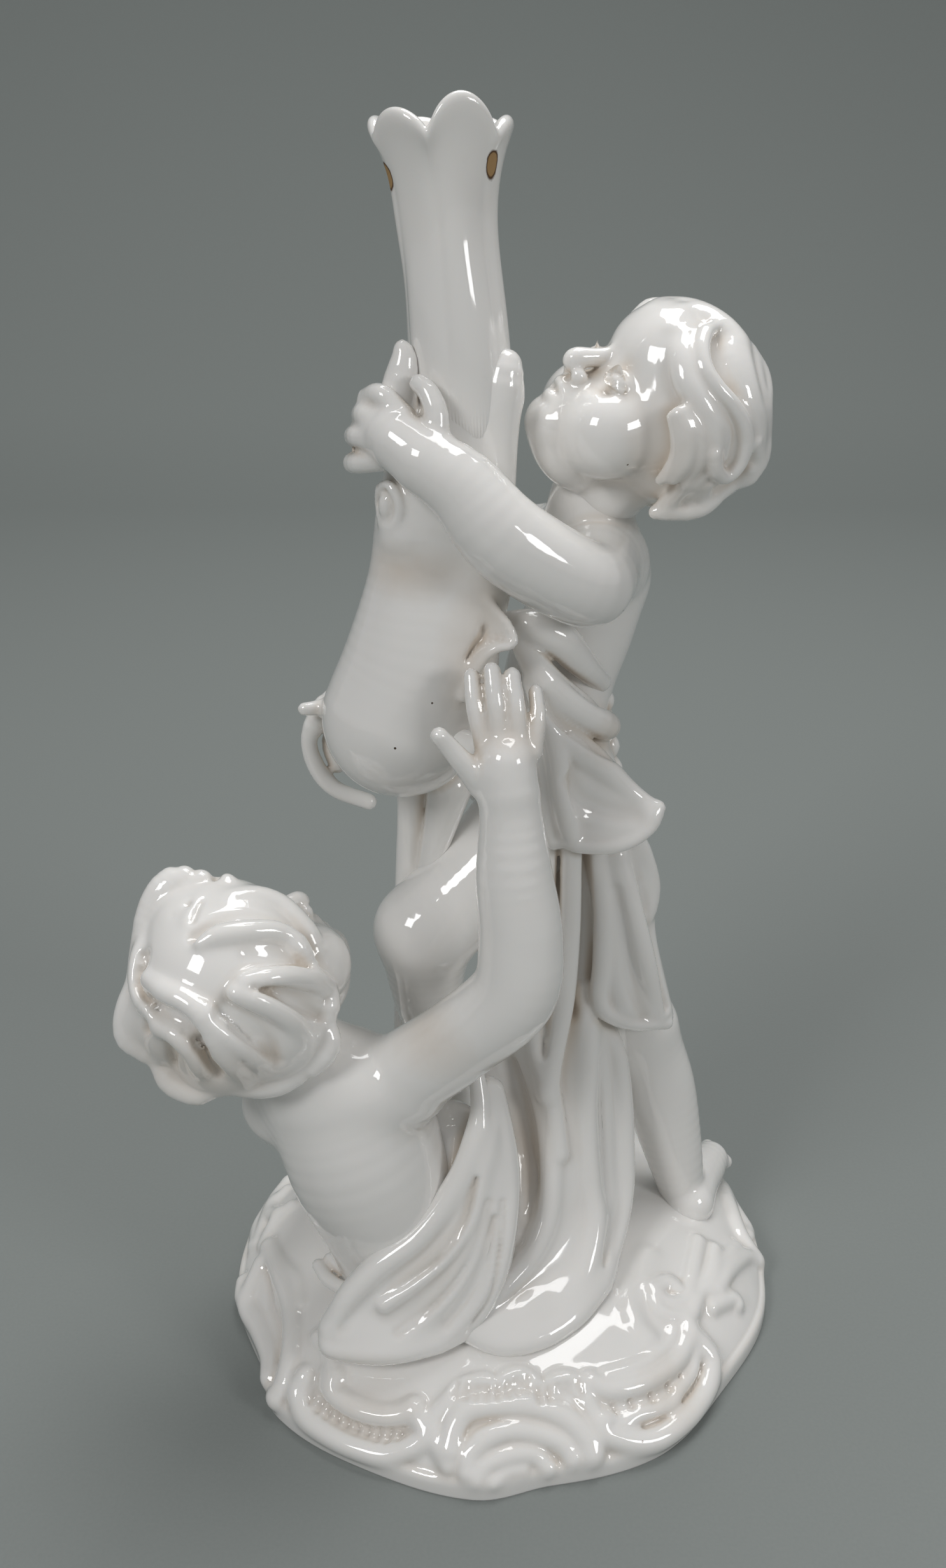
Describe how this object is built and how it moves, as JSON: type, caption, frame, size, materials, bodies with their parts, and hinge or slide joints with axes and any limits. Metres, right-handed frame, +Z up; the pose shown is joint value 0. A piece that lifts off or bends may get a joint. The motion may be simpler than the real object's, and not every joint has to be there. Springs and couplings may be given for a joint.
{
  "type": "figural candlestick",
  "caption": "White glazed porcelain candlestick with putti and a dolphin on a scrolled mound; the dolphin's open mouth holds a tube with a petal rim for a candle",
  "frame": {"origin": "centre of the flat underside of the foot, on the table", "axes": "+Z up along the candle tube, -Y to the front that shows the seated putto's back, +X to the standing putto's side"},
  "size_m": [0.2076, 0.1889, 0.3803],
  "materials": {
    "glazed_porcelain": "white glazed porcelain"
  },
  "bodies": {
    "root": {"figural_candlestick": "glazed_porcelain"}
  },
  "joints": []
}
